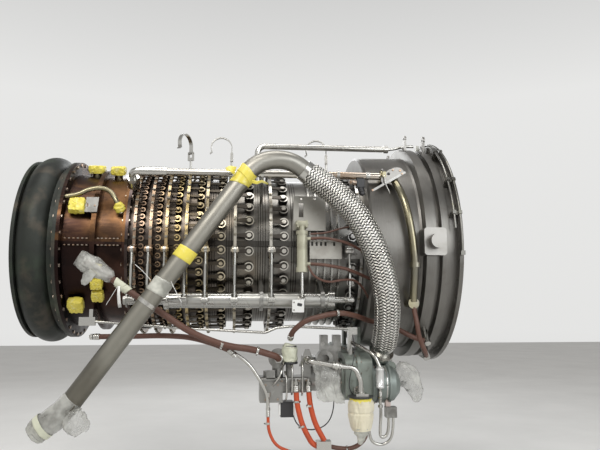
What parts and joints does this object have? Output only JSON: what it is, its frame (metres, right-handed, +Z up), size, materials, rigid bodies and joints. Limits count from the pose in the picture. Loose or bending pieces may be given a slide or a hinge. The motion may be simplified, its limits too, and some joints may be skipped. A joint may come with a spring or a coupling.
{
  "type": "gas turbine",
  "caption": "Gas turbine gas generator with inlet frame, ribbed compressor casing, variable vane linkage, exhaust frame, gearbox, starter, pipes and hoses.",
  "frame": {"origin": "on the rotor axis at the front flange face", "axes": "+X forward along the rotor axis to the inlet, +Z up, -Y the side with the delivery pipe"},
  "size_m": [2.41, 1.5569, 1.848],
  "materials": {
    "cast_metal": "satin grey casting",
    "case_steel": "satin, slightly yellowed steel",
    "hot_steel": "heat tinted copper brown steel",
    "dark_steel": "dark green black, sooty steel",
    "bolt_steel": "satin",
    "bright_steel": "bright satin",
    "shaft_steel": "satin silver",
    "chrome_tube": "polished, with a copper tint",
    "brass_tube": "dull, olive gold patina",
    "gear_casting": "light grey green casting",
    "dark_casting": "grey green casting",
    "alloy": "machined satin",
    "duct_steel": "dull grey",
    "braid": "woven wire",
    "olive_paint": "olive cream, satin",
    "brown_hose": "matt reddish brown",
    "orange_hose": "matt orange red",
    "cream_wrap": "matt woven",
    "blade_steel": "satin"
  },
  "bodies": {
    "engine": {"front_frame": "cast_metal", "nose_cone": "alloy", "frame_fittings": "bright_steel", "case_upper": "case_steel", "case_lower": "case_steel", "rear_case_upper": "hot_steel", "rear_case_lower": "hot_steel", "rear_frame": "dark_steel", "case_bolts": "bolt_steel", "spindle_bosses": "case_steel", "shaft_brackets": "alloy", "actuators": "olive_paint", "side_plates": "case_steel", "stator_vanes": "blade_steel", "clamp_posts": "bright_steel", "top_pipe": "chrome_tube", "pipe_fittings": "bright_steel", "upper_tube": "bright_steel", "frame_pipes": "brass_tube", "delivery_pipe": "duct_steel", "braided_hose": "braid", "hose_fittings": "bright_steel", "starter": "dark_casting", "gearbox": "gear_casting", "gearbox_hangers": "gear_casting", "accessories": "alloy", "crossover_pipe": "bright_steel", "canister": "cream_wrap", "control_rod": "bright_steel", "oil_hoses": "brown_hose", "drain_hoses": "orange_hose", "rear_pipes": "brass_tube"},
    "rotor": {"rotor_drum": "blade_steel", "rotor_blades": "blade_steel", "turbine_rotor": "dark_steel"},
    "torque_shaft_near": {"torque_shaft_near": "shaft_steel"},
    "torque_shaft_far": {"torque_shaft_far": "shaft_steel"},
    "links_near": {"links_near": "bright_steel"},
    "links_far": {"links_far": "bright_steel"},
    "actuator_rod_near": {"actuator_rod_near": "bright_steel"},
    "actuator_rod_far": {"actuator_rod_far": "bright_steel"},
    "vane_row_0": {"ring_0": "case_steel", "levers_0": "bright_steel"},
    "vane_row_1": {"ring_1": "case_steel", "levers_1": "bright_steel"},
    "vane_row_2": {"ring_2": "case_steel", "levers_2": "bright_steel"},
    "vane_row_3": {"ring_3": "case_steel", "levers_3": "bright_steel"},
    "vane_row_4": {"ring_4": "case_steel", "levers_4": "bright_steel"},
    "vane_row_5": {"ring_5": "case_steel", "levers_5": "bright_steel"},
    "vane_row_6": {"ring_6": "case_steel", "levers_6": "bright_steel"},
    "vane_row_7": {"ring_7": "case_steel", "levers_7": "bright_steel"},
    "clamp_band_0": {"clamp_band_0": "bright_steel"},
    "clamp_band_1": {"clamp_band_1": "bright_steel"},
    "clamp_band_2": {"clamp_band_2": "bright_steel"}
  },
  "joints": [
    {"name": "rotor_spin", "type": "hinge", "parent": "engine", "child": "rotor", "pos_m": [0, 0, 0], "axis": [1, 0, 0], "continuous": true},
    {"name": "shaft_turn", "type": "hinge", "parent": "engine", "child": "torque_shaft_near", "pos_m": [-1.1, -0.48, -0.313], "axis": [1, 0, 0], "range_deg": [-15, 15]},
    {"name": "shaft_turn_far", "type": "hinge", "parent": "engine", "child": "torque_shaft_far", "pos_m": [-1.1, 0.48, -0.313], "axis": [1, 0, 0], "range_deg": [-15.2, 15.2]},
    {"name": "vane_row_0_turn", "type": "hinge", "parent": "engine", "child": "vane_row_0", "pos_m": [-1.1, 0, 0], "axis": [1, 0, 0], "range_deg": [-2.3, 2.3]},
    {"name": "vane_row_1_turn", "type": "hinge", "parent": "engine", "child": "vane_row_1", "pos_m": [-1.1, 0, 0], "axis": [1, 0, 0], "range_deg": [-2.3, 2.3]},
    {"name": "vane_row_2_turn", "type": "hinge", "parent": "engine", "child": "vane_row_2", "pos_m": [-1.1, 0, 0], "axis": [1, 0, 0], "range_deg": [-2.3, 2.3]},
    {"name": "vane_row_3_turn", "type": "hinge", "parent": "engine", "child": "vane_row_3", "pos_m": [-1.1, 0, 0], "axis": [1, 0, 0], "range_deg": [-2.3, 2.3]},
    {"name": "vane_row_4_turn", "type": "hinge", "parent": "engine", "child": "vane_row_4", "pos_m": [-1.1, 0, 0], "axis": [1, 0, 0], "range_deg": [-2.3, 2.3]},
    {"name": "vane_row_5_turn", "type": "hinge", "parent": "engine", "child": "vane_row_5", "pos_m": [-1.1, 0, 0], "axis": [1, 0, 0], "range_deg": [-2.3, 2.3]},
    {"name": "vane_row_6_turn", "type": "hinge", "parent": "engine", "child": "vane_row_6", "pos_m": [-1.1, 0, 0], "axis": [1, 0, 0], "range_deg": [-2.3, 2.3]},
    {"name": "vane_row_7_turn", "type": "hinge", "parent": "engine", "child": "vane_row_7", "pos_m": [-1.1, 0, 0], "axis": [1, 0, 0], "range_deg": [-2.3, 2.3]},
    {"name": "links_near_swing", "type": "hinge", "parent": "torque_shaft_near", "child": "links_near", "pos_m": [-1.1, -0.56, -0.313], "axis": [1, 0, 0], "range_deg": [-15.6, 15.6]},
    {"name": "links_far_swing", "type": "hinge", "parent": "torque_shaft_far", "child": "links_far", "pos_m": [-1.1, 0.56, -0.313], "axis": [1, 0, 0], "range_deg": [-15.6, 15.6]},
    {"name": "actuator_near_stroke", "type": "slide", "parent": "engine", "child": "actuator_rod_near", "axis": [0, 0, 1], "range_m": [-0.0212, 0.0212]},
    {"name": "actuator_far_stroke", "type": "slide", "parent": "engine", "child": "actuator_rod_far", "axis": [0, 0, 1], "range_m": [-0.0212, 0.0212]},
    {"name": "clamp_0_hinge", "type": "hinge", "parent": "engine", "child": "clamp_band_0", "pos_m": [-1.518, -0.05, 0.61], "axis": [-0.8829, 0.4695, 0], "range_deg": [0, 60]},
    {"name": "clamp_1_hinge", "type": "hinge", "parent": "engine", "child": "clamp_band_1", "pos_m": [-1.262, -0.05, 0.61], "axis": [0, 1, 0], "range_deg": [0, 60]},
    {"name": "clamp_2_hinge", "type": "hinge", "parent": "engine", "child": "clamp_band_2", "pos_m": [-0.657, -0.05, 0.61], "axis": [0.1392, 0.9903, 0], "range_deg": [0, 60]}
  ],
  "couplings": [
    {"joint": "shaft_turn_far", "follows": "shaft_turn", "ratio": 1},
    {"joint": "vane_row_0_turn", "follows": "shaft_turn", "ratio": 0.14286},
    {"joint": "vane_row_1_turn", "follows": "shaft_turn", "ratio": 0.14286},
    {"joint": "vane_row_2_turn", "follows": "shaft_turn", "ratio": 0.14286},
    {"joint": "vane_row_3_turn", "follows": "shaft_turn", "ratio": 0.14286},
    {"joint": "vane_row_4_turn", "follows": "shaft_turn", "ratio": 0.14286},
    {"joint": "vane_row_5_turn", "follows": "shaft_turn", "ratio": 0.14286},
    {"joint": "vane_row_6_turn", "follows": "shaft_turn", "ratio": 0.14286},
    {"joint": "vane_row_7_turn", "follows": "shaft_turn", "ratio": 0.14286},
    {"joint": "links_near_swing", "follows": "shaft_turn", "ratio": -1.024},
    {"joint": "links_far_swing", "follows": "shaft_turn", "ratio": -1.024},
    {"joint": "actuator_near_stroke", "follows": "shaft_turn", "m_per_rad": -0.08},
    {"joint": "actuator_far_stroke", "follows": "shaft_turn", "m_per_rad": 0.08}
  ]
}
